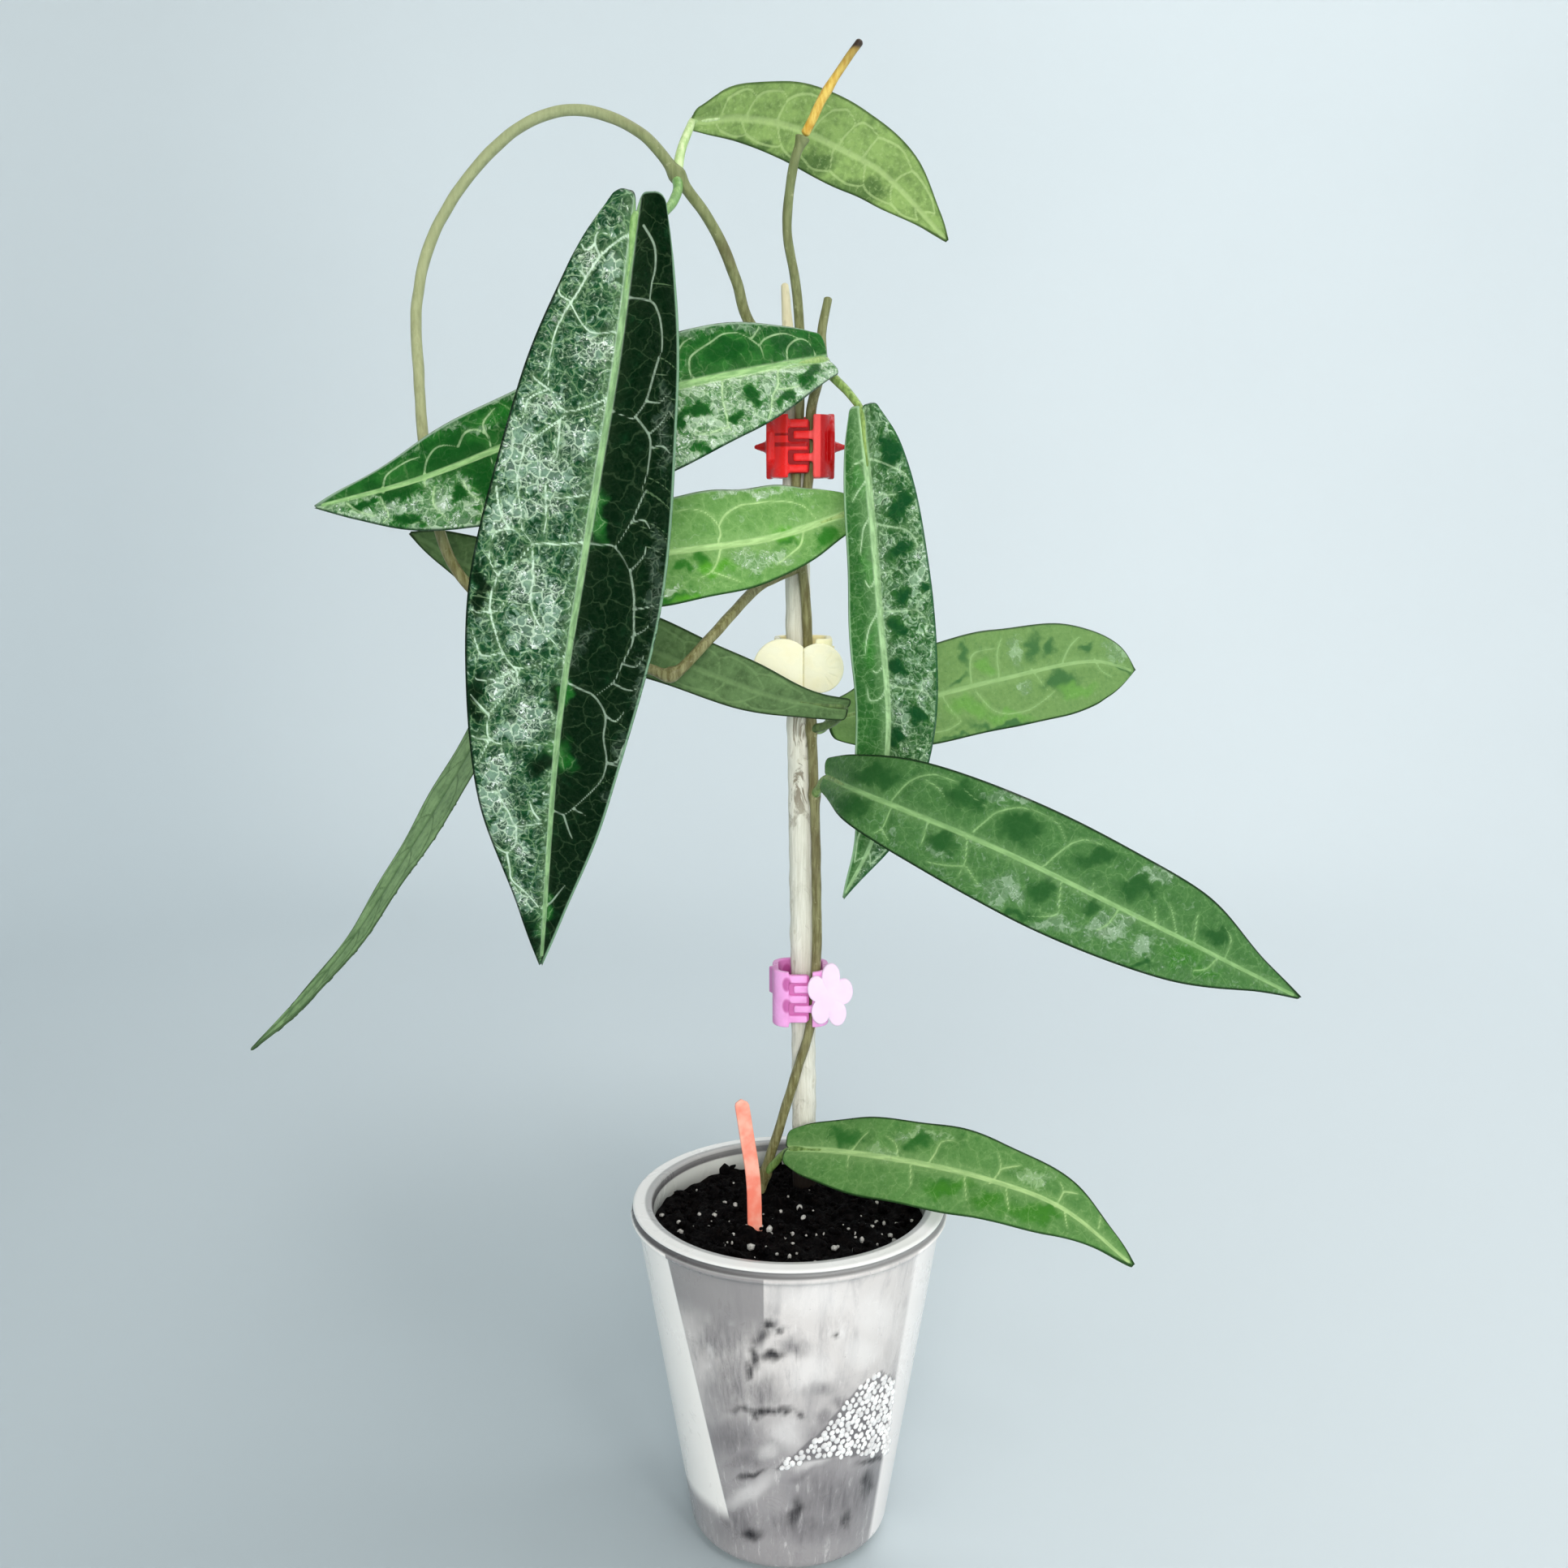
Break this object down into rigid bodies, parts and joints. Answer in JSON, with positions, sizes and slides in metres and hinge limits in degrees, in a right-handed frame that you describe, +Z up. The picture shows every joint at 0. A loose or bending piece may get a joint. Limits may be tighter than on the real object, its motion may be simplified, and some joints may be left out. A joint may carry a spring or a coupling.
{
  "type": "potted hoya climbing plant",
  "caption": "Climbing vine with long waxy leaves and a looped stem, held to a wooden stake by small sprung claw clips, in a milky plastic nursery pot of soil with a label stick.",
  "frame": {"origin": "centre of the pot's flat base, on the surface it stands on", "axes": "+Z up along the pot's axis, -Y towards the viewer who sees the large front leaf, +X to that viewer's right"},
  "size_m": [0.2724, 0.1217, 0.4115],
  "materials": {
    "pot_plastic": "milky translucent moulded plastic with smoky streaks and a glossy rim",
    "soil": "loose dark potting mix with white perlite grains",
    "stake_wood": "pale peeled wood with a few grey-brown bark marks",
    "label_plastic": "thin salmon-orange plastic strip",
    "stem": "olive to brown vine bark, greener towards the top",
    "young_stem": "tender orange-yellow shoot with a dark brown tip",
    "leaf_dark": "glossy, very dark green with pale veins and silvery flecks",
    "leaf_mid": "glossy mid-green with pale arched veins",
    "leaf_light": "satin light green with pale veins",
    "red_plastic": "glossy red moulded plastic",
    "cream_plastic": "glossy pale yellow-cream moulded plastic",
    "pink_plastic": "glossy lilac-pink moulded plastic",
    "pin_steel": "plain steel wire"
  },
  "bodies": {
    "plant": {"pot": "pot_plastic", "soil": "soil", "stake": "stake_wood", "label_stick": "label_plastic", "vine_stem": "stem", "growing_shoot": "young_stem", "leaf_front": "leaf_dark", "leaf_upper_left": "leaf_mid", "leaf_middle": "leaf_light", "leaf_upright_right": "leaf_mid", "leaf_right_rear": "leaf_light", "leaf_lower_right": "leaf_mid", "leaf_bottom_right": "leaf_mid", "leaf_top_right": "leaf_light", "leaf_dark_middle": "leaf_dark", "leaf_lower_left": "leaf_light", "clip_red_left_jaw": "red_plastic", "clip_red_pin": "pin_steel", "clip_cream_right_jaw": "cream_plastic", "clip_cream_pin": "pin_steel", "clip_pink_left_jaw": "pink_plastic", "clip_pink_pin": "pin_steel"},
    "red_jaw": {"clip_red_right_jaw": "red_plastic"},
    "cream_jaw": {"clip_cream_left_jaw": "cream_plastic"},
    "pink_jaw": {"clip_pink_right_jaw": "pink_plastic"}
  },
  "joints": [
    {"name": "red_clip_hinge", "type": "hinge", "parent": "plant", "child": "red_jaw", "pos_m": [0.0031, 0.0334, 0.3105], "axis": [0, 0, 1], "range_deg": [0, 30], "stiffness_Nm_per_rad": 0.01},
    {"name": "cream_clip_hinge", "type": "hinge", "parent": "plant", "child": "cream_jaw", "pos_m": [0.004, 0.0334, 0.251], "axis": [0, 0, -1], "range_deg": [0, 30], "stiffness_Nm_per_rad": 0.01},
    {"name": "pink_clip_hinge", "type": "hinge", "parent": "plant", "child": "pink_jaw", "pos_m": [0.0034, 0.0333, 0.15375], "axis": [0, 0, 1], "range_deg": [0, 30], "stiffness_Nm_per_rad": 0.01}
  ]
}
